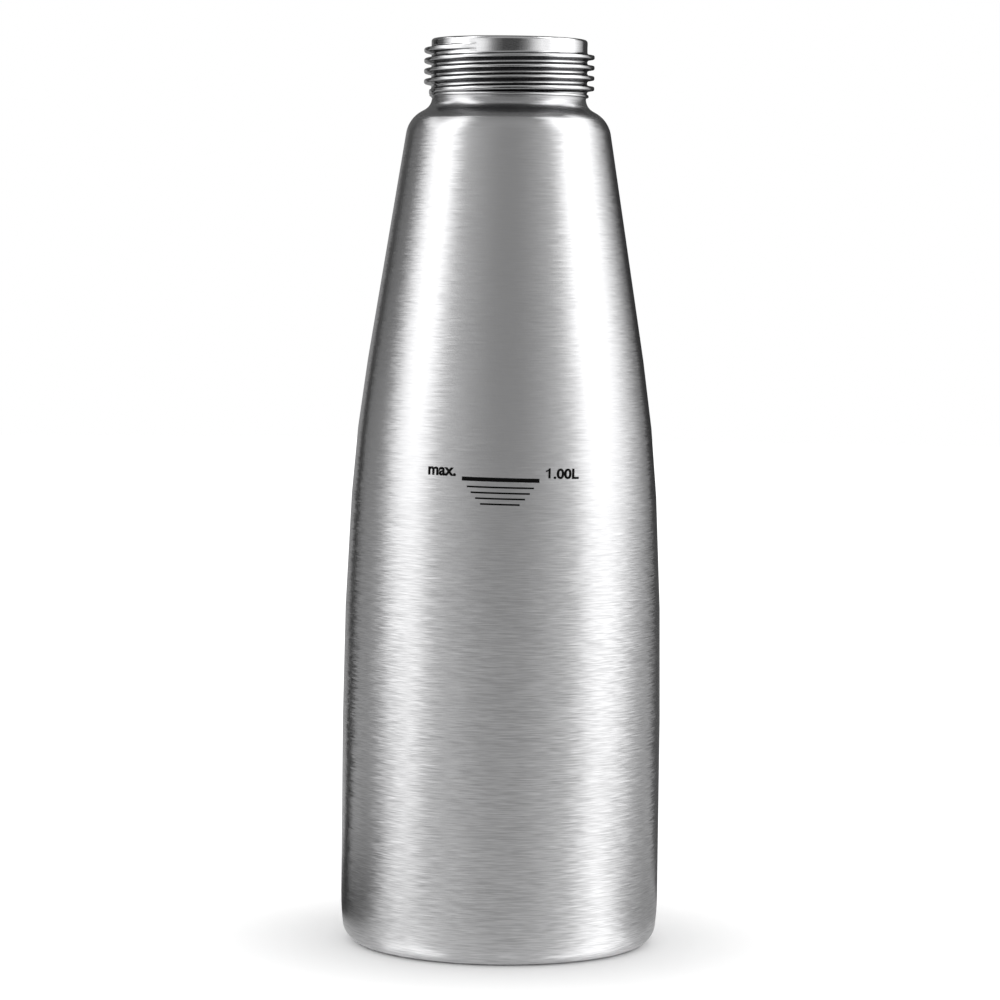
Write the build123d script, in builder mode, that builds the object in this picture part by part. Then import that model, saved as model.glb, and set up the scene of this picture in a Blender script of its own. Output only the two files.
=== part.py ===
from build123d import *
import os
from math import radians, tan

# Pressure bottle of a one litre cream whipper, millimetres, standing on its base with +Z up.
# The origin is the centre of the ring that the bottle stands on, and +Z is its axis.
# Three stainless pieces make it: a formed shell, a turned neck ring welded into the top of the
# shell, and a dished base plate welded into its heel. The head that screws on is another part.
# Every profile is a half section in the XZ plane, with X as the radius, revolved about Z.

# Overall sizes
total_height = 278.0
body_diameter = 98.1
wall = 0.95

# Side of the shell, given at the sharp corners of its outline before they are rounded
barrel_corner_height = 103.7
cone_corner_height = 159.4
cone_corner_inset = 3.4
barrel_blend_length = 34.4
cone_blend_length = 20.8

# Shoulder and neck of the shell
neck_stub_height = 2.85
flare_width = 7.1
flare_height = 4.05
shoulder_radius = 9.2
neck_root_radius = 4.2

# Heel of the shell and the ring that it stands on
heel_radius = 6.0
heel_flank_rise = 4.5
heel_flank_draw = 1.15
heel_blend_length = 4.0
standing_ring_width = 3.2

# Base plate, pressed inwards so that gas pressure doesn't push it out past the standing ring
plate_thickness = 1.0
rim_width = 1.9
step_run = 2.8
step_height = 3.6
dome_rise = 2.9
rim_bend_radius = 1.6
step_bend_radius = 3.0

# Neck ring, whose thread's crest diameter is the one that a head has to match. Depths, steps and
# the wall are measured along the radius, and heights run from the lip down.
thread_crest_diameter = 52.2
thread_depth = 2.1
thread_end_slope = 0.8
thread_lead_gap = 0.5
thread_relief = 0.6
ring_height = 17.6
ring_wall = 3.0
mouth_chamfer = 0.5
lip_height = 2.0
lip_step = 0.1
lip_round = 0.9
bead_height = 1.9
bead_stand = 0.4
bead_chamfer = 0.3
spigot_length = 3.0
spigot_chamfer = 0.5
neck_step = 0.8

body_radius = body_diameter / 2
thread_crest_radius = thread_crest_diameter / 2
thread_root_radius = thread_crest_radius - thread_depth
mouth_radius = thread_root_radius - ring_wall
lip_radius = thread_root_radius - lip_step
bead_radius = thread_root_radius + bead_stand
neck_radius = bead_radius - neck_step
ring_foot_height = total_height - ring_height


def blend_radius(before, corner, after, blend_length):
    """Radius of the arc that leaves a straight run blend_length short of a corner."""
    arriving = Vector(*corner) - Vector(*before)
    leaving = Vector(*after) - Vector(*corner)
    return blend_length / tan(radians(arriving.get_angle(leaving)) / 2)


# Body shell. Its outline climbs from the weld at the base plate, round the heel, up a flank that
# eases into the straight barrel, through two long blends into the cone, over the shoulder and up
# the flare to the stub of neck under the ring. The wall is offset inwards from that one line.
heel_corner_radius = body_radius - heel_flank_draw
flank_height = heel_radius + heel_flank_rise
heel_corner = (heel_corner_radius, 0)
flank_corner = (body_radius, flank_height)
barrel_corner = (body_radius, barrel_corner_height)
cone_corner = (body_radius - cone_corner_inset, cone_corner_height)
root_corner = (neck_radius, ring_foot_height - neck_stub_height)
shoulder_corner = (neck_radius + flare_width, root_corner[1] - flare_height)
neck_top = (neck_radius, ring_foot_height)

heel_turn = Vector(1, 0).get_angle(Vector(*flank_corner) - Vector(*heel_corner))
heel_tangent_length = heel_radius * tan(radians(heel_turn) / 2)
plate_radius = heel_corner_radius - heel_tangent_length - standing_ring_width
shell_edge = (plate_radius, 0)

heel_blend_radius = blend_radius(heel_corner, flank_corner, barrel_corner, heel_blend_length)
barrel_blend_radius = blend_radius(flank_corner, barrel_corner, cone_corner, barrel_blend_length)
cone_blend_radius = blend_radius(barrel_corner, cone_corner, shoulder_corner, cone_blend_length)

with BuildPart() as body_shell:
    with BuildSketch(Plane.XZ):
        with BuildLine():
            FilletPolyline(
                shell_edge,
                heel_corner,
                flank_corner,
                barrel_corner,
                cone_corner,
                shoulder_corner,
                root_corner,
                neck_top,
                radius=[
                    heel_radius,
                    heel_blend_radius,
                    barrel_blend_radius,
                    cone_blend_radius,
                    shoulder_radius,
                    neck_root_radius,
                ],
            )
            offset(amount=wall, side=Side.LEFT)
        make_face()
    revolve(axis=Axis.Z)

# Base plate. A flat rim lies level with the shell's standing ring and is butt welded to its edge,
# a rounded step lifts the middle off the table, and the middle is a shallow dome.
rim_inner_radius = plate_radius - rim_width
dome_radius = rim_inner_radius - step_run
dome_sphere_radius = (dome_radius**2 + dome_rise**2) / (2 * dome_rise)

with BuildPart() as base_plate:
    with BuildSketch(Plane.XZ):
        with BuildLine() as underside:
            rim = Line((plate_radius, 0), (rim_inner_radius, 0))
            step = Line(rim @ 1, (dome_radius, step_height))
            RadiusArc(step @ 1, (0, step_height + dome_rise), -dome_sphere_radius)
            fillet(underside.vertices().sort_by(Axis.X)[2], rim_bend_radius)
            fillet(underside.vertices().sort_by(Axis.X)[1], step_bend_radius)
            offset(amount=plate_thickness, side=Side.RIGHT)
        make_face()
    revolve(axis=Axis.Z)

# Neck ring. It is turned from thick tube: a plain sealing lip, the band that the thread is cut
# into, drawn here at its crest diameter, and a bead that the shell's neck butts against. The
# spigot below the bead fills the mouth of the shell.
spigot_radius = neck_radius - wall
spigot_foot_height = ring_foot_height - spigot_length
bead_top_height = ring_foot_height + bead_height
thread_foot_height = bead_top_height + thread_relief
lip_foot_height = total_height - lip_height
thread_top_height = lip_foot_height - thread_lead_gap

with BuildPart() as neck_ring:
    with BuildSketch(Plane.XZ) as ring_section:
        with BuildLine():
            Polyline(
                (mouth_radius, spigot_foot_height),
                (spigot_radius, spigot_foot_height),
                (spigot_radius, ring_foot_height),
                (bead_radius, ring_foot_height),
                (bead_radius, bead_top_height),
                (thread_root_radius, bead_top_height),
                (thread_root_radius, thread_foot_height),
                (thread_crest_radius, thread_foot_height + thread_end_slope),
                (thread_crest_radius, thread_top_height - thread_end_slope),
                (thread_root_radius, thread_top_height),
                (thread_root_radius, lip_foot_height),
                (lip_radius, lip_foot_height),
                (lip_radius, total_height),
                (mouth_radius, total_height),
                close=True,
            )
        make_face()
        chamfer(ring_section.vertices().group_by(Axis.Y)[0], spigot_chamfer)
        fillet(ring_section.vertices().group_by(Axis.Y)[-1].sort_by(Axis.X)[-1], lip_round)
        chamfer(ring_section.vertices().group_by(Axis.Y)[-1].sort_by(Axis.X)[0], mouth_chamfer)
        bead_corners = ring_section.vertices().filter_by(
            lambda corner: abs(corner.X - bead_radius) < bead_chamfer / 10
        )
        chamfer(bead_corners, bead_chamfer)
    revolve(axis=Axis.Z)

body_shell.part.label = "body_shell"
base_plate.part.label = "base_plate"
neck_ring.part.label = "neck_ring"

os.makedirs("parts", exist_ok=True)
export_step(body_shell.part, "parts/body_shell.step")
export_step(base_plate.part, "parts/base_plate.step")
export_step(neck_ring.part, "parts/neck_ring.step")
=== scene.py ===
# %% [markdown]
# # The bottle of a cream whipper
# The object is a one litre pressure bottle: a formed steel shell, a turned ring with a screw
# thread welded into its top, and a dished plate welded into its base. The CAD model holds the
# sizes and where each piece sits. This lesson builds the pieces again as smooth meshes, cuts the
# thread, prints the fill mark and gives each piece the finish that its making leaves on it.

import math

import bmesh
import bpy
from mathutils import Euler, Matrix, Vector


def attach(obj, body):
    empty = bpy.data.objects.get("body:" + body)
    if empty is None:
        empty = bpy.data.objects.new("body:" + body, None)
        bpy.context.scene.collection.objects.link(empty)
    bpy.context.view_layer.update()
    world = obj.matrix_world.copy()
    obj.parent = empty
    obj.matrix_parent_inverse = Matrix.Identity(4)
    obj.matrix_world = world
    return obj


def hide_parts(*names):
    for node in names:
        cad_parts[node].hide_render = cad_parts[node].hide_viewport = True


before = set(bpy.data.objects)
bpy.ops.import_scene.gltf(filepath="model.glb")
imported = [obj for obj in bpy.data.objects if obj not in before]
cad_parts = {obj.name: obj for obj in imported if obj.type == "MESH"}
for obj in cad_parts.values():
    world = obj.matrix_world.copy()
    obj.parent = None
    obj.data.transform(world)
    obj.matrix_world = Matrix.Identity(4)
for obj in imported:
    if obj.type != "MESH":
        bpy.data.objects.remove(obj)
bpy.context.view_layer.update()

# %% [markdown]
# ## Units and the way of working
# Lengths are written in millimetres, as on a workshop drawing, and turned to metres by MM where a
# mesh is made. All three steel pieces are round, so each one is drawn as half of its section and
# revolved. The operators work on whatever is selected, so everything is deselected first.

# %% Units and shared steps
MM = 0.001
ROUND_STEPS = 192
ARC_STEP = math.radians(3)
LONGEST_RUN = 5.0
SAME_PLACE = 0.0005


def select_only(piece):
    """Leaves edit mode and makes piece the one selected and active object."""
    if bpy.context.mode != "OBJECT":
        bpy.ops.object.mode_set(mode="OBJECT")
    bpy.ops.object.select_all(action="DESELECT")
    if piece is not None:
        piece.select_set(True)
        bpy.context.view_layer.objects.active = piece


def edit_all(piece):
    """Opens piece in edit mode with all of it selected."""
    select_only(piece)
    bpy.ops.object.mode_set(mode="EDIT")
    bpy.ops.mesh.select_all(action="SELECT")


def apply_modifier(piece, kind, **settings):
    """Adds one modifier with its settings and applies it."""
    select_only(piece)
    modifier = piece.modifiers.new(kind.title(), kind)
    for name, value in settings.items():
        setattr(modifier, name, value)
    bpy.ops.object.modifier_apply(modifier=modifier.name)


def report(piece):
    """Prints how large and how dense a mesh is, and how many of its edges aren't shared by two faces."""
    mesh = bmesh.new()
    mesh.from_mesh(piece.data)
    loose = sum(not edge.is_manifold for edge in mesh.edges)
    triangles = sum(len(face.verts) - 2 for face in mesh.faces)
    mesh.free()
    size = ", ".join(f"{side / MM:.2f}" for side in piece.dimensions)
    print(f"{piece.name}: {size} mm, {triangles} triangles, {loose} open edges")


# %% [markdown]
# ## Drawing a section and revolving it
# A section starts as one vertex. Straight runs are extruded from it, and each rounded corner is
# spun about the centre of its round, so that it is a true arc and meets its straight runs without
# a kink. Long runs are extruded in several short steps, because one long face beside a tight bend
# would pick up some of the bend in its shading.


# %% A pen for sections
def start_wire(name, point):
    """One vertex in the XZ plane: a small plane merged at its middle and moved into place."""
    select_only(None)
    bpy.ops.mesh.primitive_plane_add(size=MM)
    wire = bpy.context.object
    wire.name = wire.data.name = name
    bpy.ops.object.mode_set(mode="EDIT")
    bpy.ops.mesh.select_all(action="SELECT")
    bpy.ops.mesh.merge(type="CENTER")
    bpy.ops.transform.translate(value=point * MM)
    return wire


def run_to(here, there):
    """Extrudes the selected vertex in a straight line from here to there."""
    steps = max(1, math.ceil((there - here).length / LONGEST_RUN))
    for _ in range(steps):
        step = (there - here) * MM / steps
        bpy.ops.mesh.extrude_vertices_move(TRANSFORM_OT_translate={"value": step})


def draw_section(name, corners, closed=False, arc_step=ARC_STEP):
    """A wire through corners, each (radius from the axis, height, rounding), in millimetres."""
    points = [Vector((x, 0, z)) for x, z, _ in corners]
    roundings = [rounding for _, _, rounding in corners]
    if closed:
        points.append(points[0])
        roundings.append(0)
    wire = start_wire(name, points[0])
    here = points[0]
    for before, corner, after, rounding in zip(points, points[1:], points[2:], roundings[1:]):
        arriving = (corner - before).normalized()
        leaving = (after - corner).normalized()
        turn = arriving.angle(leaving)
        arc_start = corner - arriving * rounding * math.tan(turn / 2)
        run_to(here, arc_start)
        here = arc_start
        if rounding:
            axis = arriving.cross(leaving).normalized()
            centre = arc_start + axis.cross(arriving) * rounding
            steps = max(2, math.ceil(turn / arc_step))
            bpy.ops.mesh.spin(steps=steps, angle=-turn, center=centre * MM, axis=axis)
            here = corner + leaving * rounding * math.tan(turn / 2)
    run_to(here, points[-1])
    bpy.ops.mesh.select_all(action="SELECT")
    bpy.ops.mesh.remove_doubles(threshold=SAME_PLACE * MM)
    select_only(wire)
    return wire


def revolve(wire):
    """Spins a section once round the Z axis and closes the seam and the poles."""
    edit_all(wire)
    bpy.ops.mesh.spin(steps=ROUND_STEPS, angle=2 * math.pi, center=(0, 0, 0), axis=(0, 0, 1))
    bpy.ops.mesh.select_all(action="SELECT")
    bpy.ops.mesh.remove_doubles(threshold=SAME_PLACE * MM)
    bpy.ops.mesh.normals_make_consistent(inside=False)
    select_only(wire)


def face_away_from(sheet, point):
    """Turns an open sheet's faces over if most of them look towards point."""
    outward = sum(f.area * f.normal.dot(f.center - Vector(point)) for f in sheet.data.polygons)
    if outward < 0:
        edit_all(sheet)
        bpy.ops.mesh.flip_normals()
        select_only(sheet)


def smooth(piece, sharpest):
    """Smooth shading over every bend up to sharpest degrees."""
    select_only(piece)
    bpy.ops.object.shade_smooth_by_angle(angle=math.radians(sharpest))


# %% [markdown]
# ## The shell
# The real shell is drawn and spun from stainless sheet about 1 mm thick, so its wall is the same
# all over. The section is therefore only its outer line, from the weld at the base plate round
# the heel, up the barrel and the cone, over the shoulder and up the flare to the neck. The two
# bends between barrel and cone are so gentle that they are given by how far each one reaches from
# its corner. A Solidify modifier then adds the wall on the inside.

# %% Sizes of the shell
TOTAL_HEIGHT = 278.0
BODY_RADIUS = 98.1 / 2
WALL = 0.95
RING_FOOT = TOTAL_HEIGHT - 17.6
NECK_RADIUS = 23.6
PLATE_EDGE = 39.32
HEEL_ROUND = 6.0
FLANK_REACH = 4.0
BARREL_REACH = 34.4
CONE_REACH = 20.8
SHOULDER_ROUND = 9.2
ROOT_ROUND = 4.2
SHEET_SHARPEST = 35
MIDDLE = (0, 0, TOTAL_HEIGHT / 2 * MM)

HEEL_CORNER = (BODY_RADIUS - 1.15, 0)
FLANK_CORNER = (BODY_RADIUS, 10.5)
BARREL_CORNER = (BODY_RADIUS, 103.7)
CONE_CORNER = (BODY_RADIUS - 3.4, 159.4)
ROOT_CORNER = (NECK_RADIUS, RING_FOOT - 2.85)
SHOULDER_CORNER = (NECK_RADIUS + 7.1, ROOT_CORNER[1] - 4.05)


def gentle(before, corner, after, reach):
    """Radius of the round that leaves its straight runs at reach from the corner."""
    arriving = Vector(corner) - Vector(before)
    leaving = Vector(after) - Vector(corner)
    return reach / math.tan(arriving.angle(leaving) / 2)


# %% Draw, revolve and thicken the shell
shell = draw_section(
    "shell",
    [
        (PLATE_EDGE, 0, 0),
        (*HEEL_CORNER, HEEL_ROUND),
        (*FLANK_CORNER, gentle(HEEL_CORNER, FLANK_CORNER, BARREL_CORNER, FLANK_REACH)),
        (*BARREL_CORNER, gentle(FLANK_CORNER, BARREL_CORNER, CONE_CORNER, BARREL_REACH)),
        (*CONE_CORNER, gentle(BARREL_CORNER, CONE_CORNER, SHOULDER_CORNER, CONE_REACH)),
        (*SHOULDER_CORNER, SHOULDER_ROUND),
        (*ROOT_CORNER, ROOT_ROUND),
        (NECK_RADIUS, RING_FOOT, 0),
    ],
)
revolve(shell)
face_away_from(shell, MIDDLE)
apply_modifier(shell, "SOLIDIFY", thickness=WALL * MM, offset=-1, use_even_offset=True)
smooth(shell, SHEET_SHARPEST)
report(shell)

# %% [markdown]
# ## The dished base plate
# The plate is pressed upwards, so that the gas pushes against an arch. From below it shows a flat
# rim, a rounded step and a shallow dome. Its underside is drawn from the weld inwards to the axis,
# where the revolved section closes on one vertex, and Solidify gives it its sheet thickness
# upwards. The dome's first corner is left out, which gives the round of the step more room.

# %% Draw, revolve and thicken the base plate
PLATE_THICKNESS = 1.0
RIM_INNER = PLATE_EDGE - 1.9
DOME_EDGE = (RIM_INNER - 2.8, 3.6)
DOME_RISE = 2.9
DOME_SPHERE = (DOME_EDGE[0] ** 2 + DOME_RISE**2) / (2 * DOME_RISE)
DOME_CORNERS = 12
FIRST_DOME_CORNER = 2
RIM_ROUND = 1.6
STEP_ROUND = 3.0


def dome_point(share):
    """A corner of the dome's arc, from its edge at share 0 to the axis at share 1."""
    x = DOME_EDGE[0] * (1 - share)
    drop = DOME_SPHERE - math.sqrt(DOME_SPHERE**2 - x**2)
    return (x, DOME_EDGE[1] + DOME_RISE - drop, 0)


base = draw_section(
    "dished_base",
    [
        (PLATE_EDGE, 0, 0),
        (RIM_INNER, 0, RIM_ROUND),
        (*DOME_EDGE, STEP_ROUND),
        *(
            dome_point(step / DOME_CORNERS)
            for step in range(FIRST_DOME_CORNER, DOME_CORNERS + 1)
        ),
    ],
)
revolve(base)
face_away_from(base, MIDDLE)
apply_modifier(base, "SOLIDIFY", thickness=PLATE_THICKNESS * MM, offset=-1, use_even_offset=True)
smooth(base, SHEET_SHARPEST)
report(base)

# %% [markdown]
# ## The neck ring and its thread
# The ring is turned from thick tube. Its section is a closed loop: a bore, a sealing lip with a
# rounded outer edge, the bottom of the thread, a bead, and a spigot that reaches down into the
# shell. Real threads are cut into the ring. Here the plain ring is made first, the ridge is swept
# round it by a Screw modifier, and a Boolean joins the two into one closed body. The ring is made
# a little slimmer than the nominal root, because the worn nose of a threading tool leaves the
# grooves round at the bottom, and the rounds at the foot of the ridge then meet there.

# %% Draw and revolve the ring
THREAD_CREST = 52.2 / 2
THREAD_ROOT = THREAD_CREST - 2.1
GROOVE_RADIUS = THREAD_ROOT - 0.12
MOUTH_RADIUS = THREAD_ROOT - 3.0
LIP_RADIUS = THREAD_ROOT - 0.1
LIP_FOOT = TOTAL_HEIGHT - 2.0
BEAD_RADIUS = THREAD_ROOT + 0.4
BEAD_TOP = RING_FOOT + 0.9
SPIGOT_RADIUS = NECK_RADIUS - WALL
SPIGOT_FOOT = RING_FOOT - 3.0
EDGE = 0.5
BEAD_EDGE = 0.3
LIP_ROUND = 0.9

neck = draw_section(
    "threaded_neck",
    [
        (MOUTH_RADIUS, SPIGOT_FOOT + EDGE, 0),
        (MOUTH_RADIUS + EDGE, SPIGOT_FOOT, 0),
        (SPIGOT_RADIUS - EDGE, SPIGOT_FOOT, 0),
        (SPIGOT_RADIUS, SPIGOT_FOOT + EDGE, 0),
        (SPIGOT_RADIUS, RING_FOOT, 0),
        (BEAD_RADIUS, RING_FOOT, BEAD_EDGE),
        (BEAD_RADIUS, BEAD_TOP, BEAD_EDGE),
        (GROOVE_RADIUS, BEAD_TOP, 0),
        (GROOVE_RADIUS, LIP_FOOT, 0),
        (LIP_RADIUS, LIP_FOOT, 0),
        (LIP_RADIUS, TOTAL_HEIGHT, LIP_ROUND),
        (MOUTH_RADIUS + EDGE, TOTAL_HEIGHT, 0),
        (MOUTH_RADIUS, TOTAL_HEIGHT - EDGE, 0),
    ],
    closed=True,
)
revolve(neck)
report(neck)

# %% [markdown]
# The thread is right-handed with 8 turns to the inch, so it climbs 3.175 mm in each turn. It comes
# up slowly beside the bead and dies away again under the lip, as it does where a tool is fed in
# and drawn out. Turns are counted downwards from the left side of the bottle. The ridge's foot is
# sunk a little into the ring, so that the Boolean has a clean overlap to work on.

# %% Sweep the ridge of the thread
PITCH = 25.4 / 8
TOP_CREST_HEIGHT = 274.35
FIRST_TURN, FULL_FROM = -0.19, -0.02
FULL_TO, LAST_TURN = 3.7, 4.16
SUNK_ROOT = GROOVE_RADIUS - 0.4
FOOT_LEVEL = GROOVE_RADIUS - 0.01
HALF_TURN_WIDTH = PITCH / 2 - 0.04
FOOT_HALF_WIDTH = 0.98
FOOT_ROUND = 0.66
CREST_HALF_WIDTH = 0.6
CREST_ROUND = 0.5
RIDGE_ARC_STEP = math.radians(12)
LEAST_RIDGE = 0.001
NECK_SHARPEST = 30

turns = LAST_TURN - FIRST_TURN
ridge = draw_section(
    "thread_ridge",
    [
        (SUNK_ROOT, -HALF_TURN_WIDTH, 0),
        (FOOT_LEVEL, -HALF_TURN_WIDTH, 0),
        (FOOT_LEVEL, -FOOT_HALF_WIDTH, FOOT_ROUND),
        (THREAD_CREST, -CREST_HALF_WIDTH, CREST_ROUND),
        (THREAD_CREST, CREST_HALF_WIDTH, CREST_ROUND),
        (FOOT_LEVEL, FOOT_HALF_WIDTH, FOOT_ROUND),
        (FOOT_LEVEL, HALF_TURN_WIDTH, 0),
        (SUNK_ROOT, HALF_TURN_WIDTH, 0),
    ],
    closed=True,
    arc_step=RIDGE_ARC_STEP,
)
apply_modifier(
    ridge,
    "SCREW",
    angle=turns * 2 * math.pi,
    screw_offset=turns * PITCH * MM,
    steps=round(turns * ROUND_STEPS),
    render_steps=round(turns * ROUND_STEPS),
    use_merge_vertices=False,
)
edit_all(ridge)
bpy.ops.mesh.fill_holes(sides=0)
bpy.ops.mesh.normals_make_consistent(inside=False)
select_only(ridge)
start_angle = math.pi - LAST_TURN * 2 * math.pi
foot_height = TOP_CREST_HEIGHT - LAST_TURN * PITCH
lifted = Matrix.Translation((0, 0, foot_height * MM))
ridge.data.transform(lifted @ Matrix.Rotation(start_angle, 4, "Z"))
report(ridge)

# %% [markdown]
# At both ends the ridge is pressed down towards its foot, and never quite to nothing, since faces
# that lie in one another would spoil the Boolean. Where broad flat faces of the ring meet the small
# rounds of the thread, plain smooth shading would bend the light over the broad ones, so a Weighted
# Normal modifier lets the largest faces decide.

# %% Let the ridge rise and die away at its ends


def ease(share):
    """0 below share 0, 1 above share 1, and a smooth step between them."""
    share = min(1.0, max(0.0, share))
    return share * share * (3 - 2 * share)


def turn_of(point):
    """How many turns below the left side a point of the ridge lies."""
    part_turn = (math.pi - math.atan2(point.y, point.x)) / (2 * math.pi)
    by_height = (TOP_CREST_HEIGHT - point.z / MM) / PITCH
    return part_turn + round(by_height - part_turn)


for vertex in ridge.data.vertices:
    turn = turn_of(vertex.co)
    coming = ease((turn - FIRST_TURN) / (FULL_FROM - FIRST_TURN))
    going = ease((LAST_TURN - turn) / (LAST_TURN - FULL_TO))
    height = max(LEAST_RIDGE, min(coming, going))
    radius = vertex.co.xy.length
    above = radius - FOOT_LEVEL * MM
    if above > 0:
        vertex.co.xy *= (FOOT_LEVEL * MM + above * height) / radius

apply_modifier(neck, "BOOLEAN", operation="UNION", solver="EXACT", object=ridge)
bpy.data.objects.remove(ridge)
smooth(neck, NECK_SHARPEST)
apply_modifier(neck, "WEIGHTED_NORMAL", mode="FACE_AREA", keep_sharp=True)
report(neck)


# %% [markdown]
# ## The fill mark
# The mark is one thick bar at the litre line, four thin bars under it that grow shorter, and a
# word at each side. It is screen printed in black ink straight on the steel, a shade out of level.
# Each part is made flat in front of the bottle and then wrapped on the shell: its distance
# sideways is measured round the shell, and the shell's own surface is found by a ray. Solidify
# gives the ink its thickness, mostly sunk in the steel so that only its face shows. A few points of
# the bold letters lie almost on one another. Those are merged, so that the ink comes out closed.

# %% Wrap flat work on the shell
MARK_HEIGHT = 145.8
MARK_SIDEWAYS = -1.15
MARK_TILT = math.radians(-0.95)
INK_PROUD = 0.05
INK_THICKNESS = 0.08


def wrap_on_shell(piece):
    """Lays a flat mesh, drawn in the XZ plane round the origin, on the front of the shell."""
    place = Matrix.Translation((MARK_SIDEWAYS * MM, 0, MARK_HEIGHT * MM))
    piece.data.transform(place @ Matrix.Rotation(-MARK_TILT, 4, "Y"))
    for vertex in piece.data.vertices:
        start = Vector((0, -BODY_RADIUS * 2 * MM, vertex.co.z))
        _, hit, _, _ = shell.ray_cast(start, (0, 1, 0))
        radius = -hit.y + INK_PROUD * MM
        angle = vertex.co.x / radius
        vertex.co.x = radius * math.sin(angle)
        vertex.co.y = -radius * math.cos(angle)
    face_away_from(piece, (0, 0, MARK_HEIGHT * MM))
    apply_modifier(piece, "SOLIDIFY", thickness=INK_THICKNESS * MM, offset=-1)


# %% The bars
BARS = [
    (23.3, 0.0, 1.2),
    (20.1, 2.27, 0.5),
    (17.7, 3.95, 0.5),
    (14.9, 5.62, 0.5),
    (11.8, 7.28, 0.5),
]
BAR_STEP = 0.8

bars = []
for width, drop, thickness in BARS:
    select_only(None)
    columns = round(width / BAR_STEP)
    bpy.ops.mesh.primitive_grid_add(x_subdivisions=columns, y_subdivisions=1, size=1)
    bar = bpy.context.object
    flat_size = Matrix.Diagonal((width * MM, thickness * MM, 1, 1))
    upright = Matrix.Rotation(math.pi / 2, 4, "X")
    bar.data.transform(Matrix.Translation((0, 0, -drop * MM)) @ upright @ flat_size)
    bars.append(bar)
select_only(bars[0])
for bar in bars:
    bar.select_set(True)
bpy.ops.object.join()
mark_bars = bars[0]
mark_bars.name = mark_bars.data.name = "fill_mark_bars"
wrap_on_shell(mark_bars)
report(mark_bars)

# %% The words
BASELINE = 0.77
WORD_GAP = 1.9
BAR_END = BARS[0][0] / 2
WORDS = [
    ("max.", -BAR_END - WORD_GAP - 9.1, 9.1, 3.5),
    (".00L", BAR_END + WORD_GAP + 2.45, 8.2, 2.95),
]
CAPITAL_SHARE = 0.73
STROKE = 0.034
LETTER_GAP = 0.0015
ONE_CORNERS = [
    (1.45, 0),
    (1.45, 2.97),
    (1.0, 2.97),
    (0.72, 2.55),
    (0, 2.25),
    (0, 1.82),
    (0.83, 2.1),
    (0.83, 0),
]


def write_word(letters, left, width, capital_height):
    """A word as a flat mesh in the XZ plane, as wide as given, with its left end at left."""
    select_only(None)
    bpy.ops.object.text_add()
    word = bpy.context.object
    word.data.body = letters
    word.data.size = capital_height * MM / CAPITAL_SHARE
    word.data.offset = STROKE * word.data.size
    bpy.ops.object.convert(target="MESH")
    low = min(v.co.x for v in word.data.vertices)
    high = max(v.co.x for v in word.data.vertices)
    stretch = width * MM / (high - low)
    print(letters, "is drawn", round(1 / stretch, 3), "times as wide by the font")
    flat = Matrix.Diagonal((stretch, 1, 1, 1)) @ Matrix.Translation((-low, 0, 0))
    upright = Matrix.Rotation(math.pi / 2, 4, "X")
    word.data.transform(Matrix.Translation((left * MM, 0, BASELINE * MM)) @ upright @ flat)
    return word


def draw_one(left):
    """A numeral one with a flag, which the built-in font lacks, drawn as an outline and filled."""
    corners = [Vector((left + x, 0, BASELINE + z)) for x, z in ONE_CORNERS]
    one = start_wire("one", corners[0])
    for here, there in zip(corners, corners[1:]):
        step = (there - here) * MM
        bpy.ops.mesh.extrude_vertices_move(TRANSFORM_OT_translate={"value": step})
    bpy.ops.mesh.select_all(action="SELECT")
    bpy.ops.mesh.edge_face_add()
    select_only(one)
    return one


words = [write_word(*word) for word in WORDS]
words.append(draw_one(BAR_END + WORD_GAP))
select_only(words[0])
for word in words:
    word.select_set(True)
bpy.ops.object.join()
mark_words = words[0]
mark_words.name = mark_words.data.name = "fill_mark_words"
edit_all(mark_words)
bpy.ops.mesh.remove_doubles(threshold=LETTER_GAP * MM)
select_only(mark_words)
wrap_on_shell(mark_words)
report(mark_words)

# %% [markdown]
# ## Materials
# Stainless steel is a nearly neutral mirror. What the eye reads as its finish is how the surface
# was worked. Brushing leaves thousands of fine scratches round the axis: they smear each reflection
# up and down and leave it sharper from side to side, and they catch the light as fine lines.
# Turning and polishing smear it far less.

# %% Colours and nodes


def linear(hexcode):
    """An sRGB colour such as "#c8c8c6" as the linear RGBA that shaders expect."""
    shares = [int(hexcode[i : i + 2], 16) / 255 for i in (1, 3, 5)]
    return [s / 12.92 if s <= 0.04045 else ((s + 0.055) / 1.055) ** 2.4 for s in shares] + [1.0]


def add(tree, kind, inputs=None, **settings):
    """Adds a node. inputs gives sockets by name or number: a value, or the output it is linked to."""
    node = tree.nodes.new(kind)
    for name, value in settings.items():
        setattr(node, name, value)
    for socket, value in (inputs or {}).items():
        if isinstance(value, bpy.types.NodeSocket):
            tree.links.new(value, node.inputs[socket])
        else:
            node.inputs[socket].default_value = value
    return node


def new_material(name):
    """An empty material, cleared of all its nodes, ready for new ones."""
    material = bpy.data.materials.new(name)
    material.use_nodes = True
    material.node_tree.nodes.clear()
    return material, material.node_tree


def spread(tree, value, low, high):
    """Maps the middle of a noise, 0.3 to 0.7, to low to high."""
    inputs = {"Value": value, "From Min": 0.3, "From Max": 0.7, "To Min": low, "To Max": high}
    return add(tree, "ShaderNodeMapRange", inputs).outputs["Result"]


def by_height(tree, place, low, high, below, above):
    """A value that goes smoothly from below at height low to above at height high."""
    height = add(tree, "ShaderNodeSeparateXYZ", {0: place}).outputs["Z"]
    eased = add(
        tree,
        "ShaderNodeMapRange",
        {
            "Value": height,
            "From Min": low * MM,
            "From Max": high * MM,
            "To Min": below,
            "To Max": above,
        },
        interpolation_type="SMOOTHSTEP",
    )
    return eased.outputs["Result"]


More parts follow.
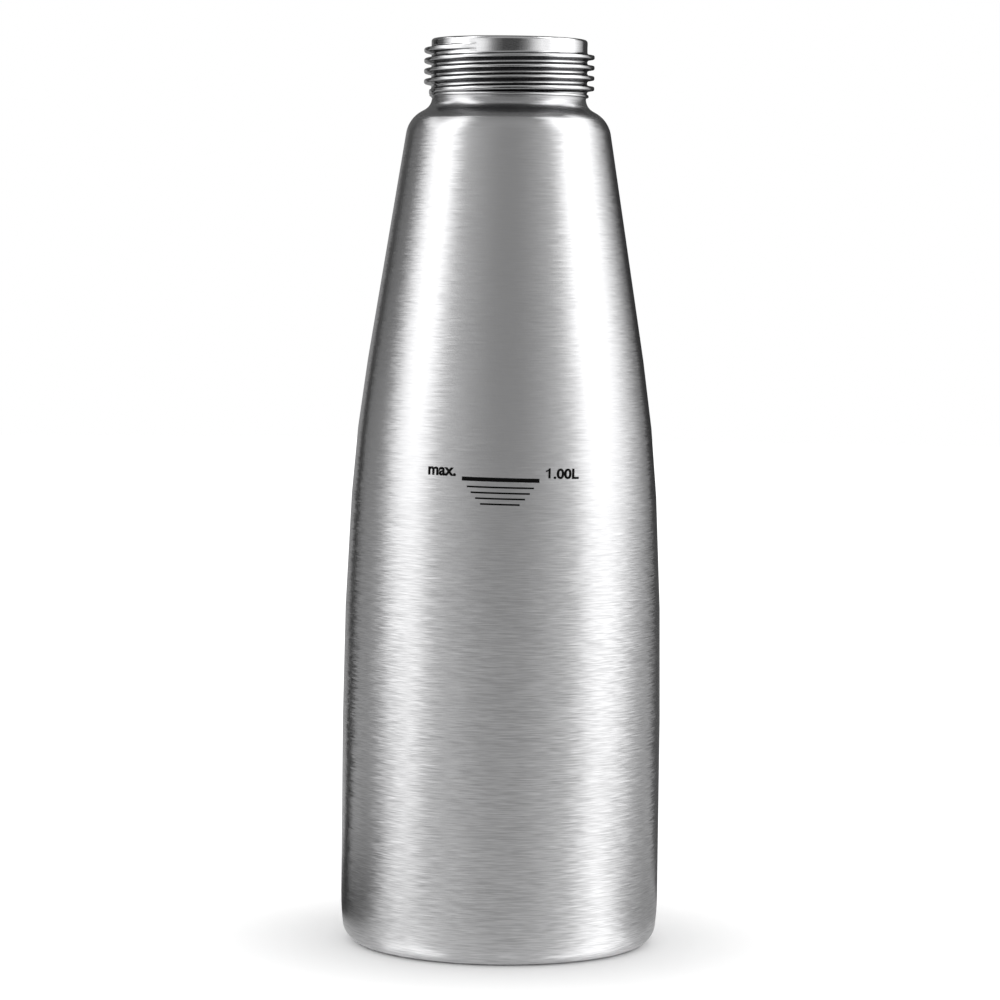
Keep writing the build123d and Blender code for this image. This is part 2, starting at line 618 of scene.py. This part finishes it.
# %% [markdown]
# Every scratch leans a little to one side and a little up or down, so the finish tilts the
# surface's normal by streaks. Sideways tilt breaks the edges of a highlight into dashes, and upright
# tilt and tone draw the fine lines. The sideways direction is the axis crossed with the place on
# the piece. The pattern is three-dimensional noise squeezed in height, so it runs round the piece
# without a seam.

# %% Scratches round the axis
PATTERN_SHIFT = 31.7


def streaks(tree, place, length, height, shift=0.0):
    """Noise drawn out round the axis: length and height of a streak in millimetres."""
    scale = (1 / (length * MM), 1 / (length * MM), 1 / (height * MM))
    drawn = add(
        tree,
        "ShaderNodeVectorMath",
        {0: place, 1: scale, 2: (shift, shift, shift)},
        operation="MULTIPLY_ADD",
    )
    noise = add(
        tree,
        "ShaderNodeTexNoise",
        {"Vector": drawn.outputs[0], "Scale": 1.0, "Detail": 1.0, "Roughness": 0.6},
    )
    return noise.outputs["Fac"]


def scaled(tree, vector, amount):
    """A vector times an amount that other nodes work out."""
    inputs = {0: vector, "Scale": amount}
    return add(tree, "ShaderNodeVectorMath", inputs, operation="SCALE").outputs[0]


def summed(tree, one, other):
    """Two vectors added."""
    return add(tree, "ShaderNodeVectorMath", {0: one, 1: other}, operation="ADD").outputs[0]


def scratched_normal(tree, place, sideways, upright, strength=1.0):
    """The surface's normal, tilted by streaks. sideways and upright are slopes."""
    axis = {0: (0, 0, 1), 1: place}
    across = add(tree, "ShaderNodeVectorMath", axis, operation="CROSS_PRODUCT").outputs[0]
    along = add(tree, "ShaderNodeVectorMath", {0: across}, operation="NORMALIZE").outputs[0]
    tilt = summed(tree, scaled(tree, along, sideways), scaled(tree, (0, 0, 1), upright))
    flat = add(tree, "ShaderNodeNewGeometry").outputs["Normal"]
    leaning = summed(tree, flat, scaled(tree, tilt, strength))
    return add(tree, "ShaderNodeVectorMath", {0: leaning}, operation="NORMALIZE").outputs[0]


def blended(tree, share, one, other):
    """A colour that goes from one to other with share. Each is a colour or a socket."""
    inputs = {"Factor": share, 6: one, 7: other}
    return add(tree, "ShaderNodeMix", inputs, data_type="RGBA").outputs[2]


def steel_shader(tree, colour, roughness, anisotropy, normal):
    """Bare steel, whose reflections are smeared across its scratches."""
    tangent = add(tree, "ShaderNodeTangent", direction_type="RADIAL", axis="Z").outputs[0]
    shader = add(
        tree,
        "ShaderNodeBsdfPrincipled",
        {
            "Base Color": colour,
            "Metallic": 1.0,
            "Roughness": roughness,
            "Anisotropic": anisotropy,
            "Anisotropic Rotation": 0.25,
            "Normal": normal,
            "Tangent": tangent,
        },
    )
    add(tree, "ShaderNodeOutputMaterial", {"Surface": shader.outputs[0]})


# %% [markdown]
# The shell is brushed on a belt. The belt bears hardest on the barrel and more lightly on the cone,
# so the lines fade upwards. It rides over the edge of the shoulder and stops there: the flare above
# keeps the even satin of the spinning, which smears a reflection equally in every direction. The
# flare is also given a darker grey, which is painted shade that dims its reflection.

# %% Belt-brushed steel of the shell
BELT_HARD = 90
BELT_LIGHT = 170
BELT_STOPS = (253.4, 253.7)
BELT_STREAK = (6.0, 0.22)
BELT_SIDEWAYS = 0.058
BELT_UPRIGHT = 0.02
BELT_PRESSURE = (1.1, 0.65)
LINE_CONTRAST = (1.0, 0.1)
STEEL_ROUGHNESS = (0.32, 0.26)
STEEL_ANISOTROPY = (0.94, 0.1)


def belt_brushed(name):
    """The shell's finish, with painted shade on the flare."""
    material, tree = new_material(name)
    place = add(tree, "ShaderNodeTexCoord").outputs["Object"]
    pressure = by_height(tree, place, BELT_HARD, BELT_LIGHT, *BELT_PRESSURE)
    contrast = by_height(tree, place, BELT_HARD, BELT_LIGHT, *LINE_CONTRAST)
    first = streaks(tree, place, *BELT_STREAK)
    second = streaks(tree, place, *BELT_STREAK, shift=PATTERN_SHIFT)
    sideways = spread(tree, first, -BELT_SIDEWAYS, BELT_SIDEWAYS)
    upright = spread(tree, second, -BELT_UPRIGHT, BELT_UPRIGHT)
    normal = scratched_normal(tree, place, sideways, upright, pressure)
    shade = add(
        tree,
        "ShaderNodeMath",
        {0: spread(tree, second, -0.5, 0.5), 1: contrast, 2: 0.5},
        operation="MULTIPLY_ADD",
    )
    roughness = by_height(tree, place, *BELT_STOPS, *STEEL_ROUGHNESS)
    anisotropy = by_height(tree, place, *BELT_STOPS, *STEEL_ANISOTROPY)
    lines = blended(tree, shade.outputs[0], linear("#b5b5b6"), linear("#d8d8d9"))
    above = by_height(tree, place, *BELT_STOPS, 0.0, 1.0)
    # Painted shade: above the belt line the flare takes a darker grey that dims its reflection.
    colour = blended(tree, above, lines, linear("#ababac"))
    steel_shader(tree, colour, roughness, anisotropy, normal)
    return material


# %% [markdown]
# The neck ring is cut on a lathe and buffed: very fine even rings, a clear reflection. The flanks
# of the thread are given a darker grey, which is painted shade standing for the shade between the
# turns. The base plate is stamped from sheet that still has its dull mill surface.

# %% Steel of the neck ring and the base plate
FLANK_FROM, FLANK_FULL = 0.45, 0.85


def painted_shade_share(tree, place):
    """Where the painted shade goes: 1 on faces below the lip that look steeply up or down, and 0 on
    upright ones.
    """
    facing_way = add(tree, "ShaderNodeNewGeometry").outputs["Normal"]
    upright = add(tree, "ShaderNodeSeparateXYZ", {0: facing_way}).outputs["Z"]
    steep = add(tree, "ShaderNodeMath", {0: upright}, operation="ABSOLUTE").outputs[0]
    flank = add(
        tree,
        "ShaderNodeMapRange",
        {"Value": steep, "From Min": FLANK_FROM, "From Max": FLANK_FULL},
        interpolation_type="SMOOTHSTEP",
    ).outputs[0]
    under_lip = by_height(tree, place, LIP_FOOT - 0.1, LIP_FOOT, 1.0, 0.0)
    return add(tree, "ShaderNodeMath", {0: flank, 1: under_lip}, operation="MULTIPLY").outputs[0]


def turned(name, dark, light, streak, roughness, anisotropy, sideways, upright, flank_shade_colour=None):
    """Steel with even rings. streak is a ring's length and height; the tilts are slopes.
    The last argument, if given, is the colour of painted shade on the thread's flanks.
    """
    material, tree = new_material(name)
    place = add(tree, "ShaderNodeTexCoord").outputs["Object"]
    first = streaks(tree, place, *streak)
    second = streaks(tree, place, *streak, shift=PATTERN_SHIFT)
    normal = scratched_normal(
        tree,
        place,
        spread(tree, first, -sideways, sideways),
        spread(tree, second, -upright, upright),
    )
    tone = spread(tree, second, 0.0, 1.0)
    rough = spread(tree, first, roughness * 0.9, roughness * 1.1)
    colour = blended(tree, tone, linear(dark), linear(light))
    # Painted shade: the thread's flanks below the lip are coloured darker.
    if flank_shade_colour:
        colour = blended(tree, painted_shade_share(tree, place), colour, linear(flank_shade_colour))
    steel_shader(tree, colour, rough, anisotropy, normal)
    return material


brushed = belt_brushed("brushed_stainless")
polished = turned(
    "polished_stainless",
    dark="#cdcdce",
    light="#d6d6d7",
    streak=(12.0, 0.2),
    roughness=0.14,
    anisotropy=0.3,
    sideways=0.008,
    upright=0.01,
    # This darker grey on the flanks is painted shade between the turns of the thread.
    flank_shade_colour="#58585a",
)
pressed = turned(
    "pressed_stainless",
    dark="#bcbcbd",
    light="#cacacb",
    streak=(9.0, 0.6),
    roughness=0.34,
    anisotropy=0.3,
    sideways=0.02,
    upright=0.02,
)

# %% Printing ink
GRAIN = 0.25
GRAIN_DEPTH = 0.004


def printing_ink():
    """Screen printed epoxy ink: a deep black with a soft sheen and a slightly uneven face."""
    material, tree = new_material("black_printing_ink")
    place = add(tree, "ShaderNodeTexCoord").outputs["Object"]
    coarse = {"Vector": place, "Scale": 1 / (GRAIN * MM), "Detail": 3.0}
    grain = add(tree, "ShaderNodeTexNoise", coarse).outputs["Fac"]
    rough = spread(tree, grain, 0.42, 0.58)
    bump = add(tree, "ShaderNodeBump", {"Height": grain, "Distance": GRAIN_DEPTH * MM})
    shader = add(
        tree,
        "ShaderNodeBsdfPrincipled",
        {
            "Base Color": linear("#060606"),
            "Roughness": rough,
            "Specular IOR Level": 0.06,
            "Normal": bump.outputs[0],
        },
    )
    add(tree, "ShaderNodeOutputMaterial", {"Surface": shader.outputs[0]})
    return material


ink = printing_ink()

# %% Give each piece its finish and its body
for piece, material, slot, node in [
    (shell, brushed, "brushed_shell", "body_shell"),
    (neck, polished, "polished_neck", "neck_ring"),
    (base, pressed, "pressed_base", "base_plate"),
    (mark_bars, ink, "black_mark", None),
    (mark_words, ink, "black_mark", None),
]:
    piece.data.materials.clear()
    piece.data.materials.append(material)
    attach(piece, "root")
    if node:
        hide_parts(node)
    print(piece.name, "has", material.name)

# %% [markdown]
# ## The camera
# The bottle is seen from a little above the middle of its height, from about 1.16 m, with a long
# lens, and the camera is rolled so slightly that the bottle leans by 0.7 of a degree.

# %% Camera
EYE = Vector((-1.235, -1158.3, 215.4))
LOOKING_DOWN = math.radians(3.887)
ROLL = math.radians(0.705)
LENS = 135.42

camera_data = bpy.data.cameras.new("camera")
camera_data.lens = LENS
camera = bpy.data.objects.new("camera", camera_data)
bpy.context.scene.collection.objects.link(camera)
camera.location = EYE * MM
aimed = Euler((math.pi / 2 - LOOKING_DOWN, 0, 0)).to_matrix() @ Matrix.Rotation(ROLL, 3, "Z")
camera.rotation_euler = aimed.to_euler()
bpy.context.scene.camera = camera
print("camera", [round(side, 4) for side in camera.location], "lens", LENS)

# %% [markdown]
# ## The studio
# Polished metal shows its room, so the room is what is lit. Screens stand in a ring round the
# bottle on a polished table. The tall ones climb from the table a metre away and close over the
# top, so their light runs evenly up to the edge of the shoulder, and the table mirrors them, so it
# also runs evenly down to the heel. Two bright ones at the sides draw the long highlights, dim ones
# fill the rest, and dark ones behind the bottle draw the lines inside its edges. A dark board round
# the lens darkens the middle of the thread, and two small bright cards beside it light the lip.
# Mats on the table are what the heel mirrors. A black card level with the bead, which shows only
# from above, gives the thread its black lines. Screens are seen in reflections only, so the floor
# and the background stay plain.

# %% Places round the bottle
SCREEN_STEP = math.radians(4)


def facing(azimuth, radius, height):
    """The point at an azimuth round the bottle: 0 is the camera's side, and right is positive."""
    turn = math.radians(azimuth)
    return Vector((radius * math.sin(turn), -radius * math.cos(turn), height))


def reflections_only(piece):
    """Hides a piece of the studio from the camera and from everything but reflections."""
    piece.visible_camera = False
    piece.visible_diffuse = False
    piece.visible_shadow = False
    piece.visible_transmission = False


# %% The glowing paper of a screen


def screen_paper(name, left, right, light, soft, from_above):
    """Paper that glows from light[0] at the table to light[1] at 1 m and is clear at its sides."""
    material, tree = new_material(name + "_paper")
    place = add(tree, "ShaderNodeTexCoord").outputs["Object"]
    middle = math.radians((left + right) / 2)
    centred = add(
        tree,
        "ShaderNodeVectorRotate",
        {"Vector": place, "Angle": -middle},
        rotation_type="Z_AXIS",
    )
    axes = add(tree, "ShaderNodeSeparateXYZ", {0: centred.outputs[0]}).outputs
    front = add(tree, "ShaderNodeMath", {0: axes["Y"], 1: -1.0}, operation="MULTIPLY").outputs[0]
    azimuth = add(tree, "ShaderNodeMath", {0: axes["X"], 1: front}, operation="ARCTAN2").outputs[0]
    off_middle = add(tree, "ShaderNodeMath", {0: azimuth}, operation="ABSOLUTE").outputs[0]
    half = math.radians((right - left) / 2)
    shown = add(
        tree,
        "ShaderNodeMapRange",
        {"Value": off_middle, "From Min": half, "From Max": half - math.radians(soft)},
        interpolation_type="SMOOTHSTEP",
    ).outputs[0]
    if from_above:
        below = add(tree, "ShaderNodeNewGeometry").outputs["Backfacing"]
        shown = add(tree, "ShaderNodeMath", {0: shown, 1: below}, operation="SUBTRACT").outputs[0]
    strength = add(
        tree,
        "ShaderNodeMapRange",
        {"Value": axes["Z"], "From Max": 1.0, "To Min": light[0], "To Max": light[1]},
        interpolation_type="SMOOTHSTEP",
    )
    glow = add(tree, "ShaderNodeEmission", {"Strength": strength.outputs[0]})
    clear = add(tree, "ShaderNodeBsdfTransparent")
    surface = add(
        tree,
        "ShaderNodeMixShader",
        {"Fac": shown, 1: clear.outputs[0], 2: glow.outputs[0]},
    )
    add(tree, "ShaderNodeOutputMaterial", {"Surface": surface.outputs[0]})
    return material


# %% A screen and the lines it can follow


def screen(name, left, right, section, light, soft=4, from_above=False):
    """A screen from azimuth left to right. section is its line of (distance, height) corners."""
    corners = [facing(left, distance, height) for distance, height in section]
    wire = start_wire(name, corners[0])
    for here, there in zip(corners, corners[1:]):
        step = (there - here) * MM
        bpy.ops.mesh.extrude_vertices_move(TRANSFORM_OT_translate={"value": step})
    bpy.ops.mesh.select_all(action="SELECT")
    span = math.radians(right - left)
    steps = math.ceil(span / SCREEN_STEP)
    bpy.ops.mesh.spin(steps=steps, angle=-span, center=(0, 0, 0), axis=(0, 0, 1))
    bpy.ops.mesh.select_all(action="SELECT")
    bpy.ops.mesh.remove_doubles(threshold=SAME_PLACE * MM)
    face_away_from(wire, (0, 0, 0))
    select_only(wire)
    wire.data.materials.append(screen_paper(name, left, right, light, soft, from_above))
    reflections_only(wire)


def card(low, high, distance=950):
    """The line of an upright card."""
    return [(distance, low), (distance, high)]


def leaning(low, top, distance, reach):
    """The line of a wall whose top folds over the bottle as far as reach from the axis."""
    return [(distance, low), (distance, top), (reach, top)]


def roofed(low, top, distance=1200):
    """The line of a wall with a roof over the bottle."""
    return [(distance, low), (distance, top), (1, top)]


# %% Walls and soft boxes in front
screen("room_wall", -180, 180, roofed(0, 1500, 1250), (0.38, 0.12), soft=0.01)
screen("front_wall", -84, 84, roofed(0, 1450), (0.58, 0.52), soft=36)
screen("left_upper_box", -116, -60, card(250, 1300, 1150), (1.3, 1.3), soft=24)
screen("right_upper_box", 54, 141, card(150, 1300, 1150), (2.0, 2.0), soft=46)
screen("left_soft_box", -105, -47.5, leaning(0, 1350, 1100, 650), (1.7, 3.2), soft=26)
screen("right_soft_box", 45.5, 115, leaning(0, 1350, 1100, 450), (1.8, 3.2), soft=31)
screen("left_high_box", -134, -94, card(790, 1090, 1050), (2.2, 2.2), soft=12)
screen("right_high_box", 92, 160, leaning(850, 1330, 1050, 850), (2.5, 2.5), soft=20)
screen("front_shade", -34, 38, roofed(0, 1300, 1000), (0.44, 0.37), soft=32)

# %% Roofs over the bottle and the board round the lens
screen("left_roof", -130, -30, [(640, 1340), (220, 1340)], (0.6, 0.6), soft=34)
screen("right_roof", 30, 130, [(440, 1340), (220, 1340)], (0.6, 0.6), soft=34)
screen("front_roof", -44, 48, [(990, 1290), (400, 1290)], (0.6, 0.6), soft=30)
screen("camera_board", -40, 42, card(258, 392), (0.02, 0.02), soft=34)
screen("ceiling_edge", -180, 180, [(480, 1210), (1, 1210)], (0.3, 0.3), soft=0.01)
screen("ceiling_card", -180, 180, [(280, 1200), (1, 1200)], (0.22, 0.22), soft=0.01)

# %% Dark walls and strips behind
screen("left_rear_roof", 180, 226, roofed(320, 1250, 1000), (0.14, 0.14), soft=5)
screen("right_rear_roof", 134, 180, roofed(300, 1240, 1000), (0.05, 0.05), soft=5)
screen("left_rear_wall", 180, 216, card(0, 330, 1000), (0.34, 0.2))
screen("right_rear_wall", 140, 180, card(0, 310, 1000), (0.12, 0.12), soft=6)
screen("right_rear_card", 143, 180, card(60, 310, 980), (0.03, 0.03), soft=3)
screen("left_upper_strip", -140, -132, card(250, 720, 900), (0.0, 0.0), soft=2)
screen("left_lower_strip", -150, -136, card(0, 270, 900), (0.0, 0.0), soft=2)
screen("left_neck_card", -156, -110, card(290, 345, 920), (0.05, 0.05), soft=8)
screen("left_table_strip", -146, -128, [(150, 1), (900, 1)], (0.0, 0.0), soft=3)

# %% Mats on the table and cards for the neck
screen("left_mat", -130, -60, [(60, 1.5), (400, 1.5)], (0.48, 0.48), soft=30)
screen("left_heel_mat", -118, -24, [(60, 2), (160, 2)], (0.66, 0.66), soft=22)
screen("left_dark_mat", -176, -66, [(60, 2.5), (150, 2.5)], (0.03, 0.03), soft=20)
screen("right_mat", 80, 150, [(60, 1.5), (1000, 1.5)], (0.48, 0.48), soft=30)
screen("right_dark_mat", 130, 166, [(60, 2.5), (1000, 2.5)], (0.1, 0.1), soft=8)
screen("right_heel_mat", 60, 130, [(60, 2), (160, 2)], (0.36, 0.36), soft=22)
screen("neck_card", -72, 62, [(27, 261.3), (55, 261.3)], (0, 0), soft=32, from_above=True)
screen("left_lip_card", -72, -22, card(286, 356, 900), (1.7, 1.7), soft=24)
screen("right_lip_card", 24, 74, card(286, 356, 900), (1.7, 1.7), soft=28)

# %% Table top
DISC_CORNERS = 128
TABLE_RADIUS = 1.3
TABLE_LIFT = 0.5

select_only(None)
bpy.ops.mesh.primitive_circle_add(vertices=DISC_CORNERS, radius=TABLE_RADIUS, fill_type="NGON")
table = bpy.context.object
table.name = table.data.name = "polished_table"
table.data.transform(Matrix.Translation((0, 0, TABLE_LIFT * MM)))
material, tree = new_material("polished_acrylic")
place = add(tree, "ShaderNodeTexCoord").outputs["Object"]
away = add(tree, "ShaderNodeVectorMath", {0: place}, operation="LENGTH").outputs["Value"]
# Painted light: the table glows, most strongly near the bottle, as a lit white top would.
near = add(
    tree,
    "ShaderNodeMapRange",
    {"Value": away, "From Min": 0.05, "From Max": 0.8, "To Min": 0.45, "To Max": 0.16},
)
painted_table_glow = add(tree, "ShaderNodeEmission", {"Strength": near.outputs[0]})
mirror = add(tree, "ShaderNodeBsdfGlossy", {"Color": (0.55, 0.55, 0.55, 1), "Roughness": 0.1})
surface = add(tree, "ShaderNodeAddShader", {0: mirror.outputs[0], 1: painted_table_glow.outputs[0]})
add(tree, "ShaderNodeOutputMaterial", {"Surface": surface.outputs[0]})
table.data.materials.append(material)
reflections_only(table)

# %% Floor and background
FLOOR_RADIUS = 3.0

select_only(None)
bpy.ops.mesh.primitive_circle_add(vertices=DISC_CORNERS, radius=FLOOR_RADIUS, fill_type="NGON")
floor = bpy.context.object
floor.name = floor.data.name = "floor"
material, tree = new_material("pale_floor")
place = add(tree, "ShaderNodeTexCoord").outputs["Object"]
away = add(tree, "ShaderNodeVectorMath", {0: place}, operation="LENGTH").outputs["Value"]
# The glow is left out close to the foot and grows to full by 13 cm out. That paints a darker ring round
# the foot on top of the floor's real shadow.
glow_outside_painted_shadow = add(
    tree,
    "ShaderNodeMapRange",
    {"Value": away, "From Min": 0.03, "From Max": 0.13, "To Max": 0.3},
    interpolation_type="SMOOTHSTEP",
)
rays = add(tree, "ShaderNodeLightPath").outputs
seen = rays["Is Camera Ray"]
for other in (rays["Is Glossy Ray"], rays["Is Transmission Ray"]):
    seen = add(tree, "ShaderNodeMath", {0: seen, 1: other}, operation="MAXIMUM").outputs[0]
strength = add(tree, "ShaderNodeMath", {0: seen, 1: glow_outside_painted_shadow.outputs[0]}, operation="MULTIPLY")
matt = add(tree, "ShaderNodeBsdfDiffuse", {"Color": linear("#fafafa")})
glow = add(tree, "ShaderNodeEmission", {"Strength": strength.outputs[0]})
surface = add(tree, "ShaderNodeAddShader", {0: matt.outputs[0], 1: glow.outputs[0]})
add(tree, "ShaderNodeOutputMaterial", {"Surface": surface.outputs[0]})
floor.data.materials.append(material)

world = bpy.data.worlds.new("studio")
bpy.context.scene.world = world
world.use_nodes = True
tree = world.node_tree
tree.nodes.clear()
sky = add(tree, "ShaderNodeBackground", {"Color": (1, 1, 1, 1), "Strength": 1.0})
add(tree, "ShaderNodeOutputWorld", {"Surface": sky.outputs[0]})

bpy.context.scene.view_settings.view_transform = "Standard"

# %% Bring the scene up to date and finish
bpy.context.view_layer.update()
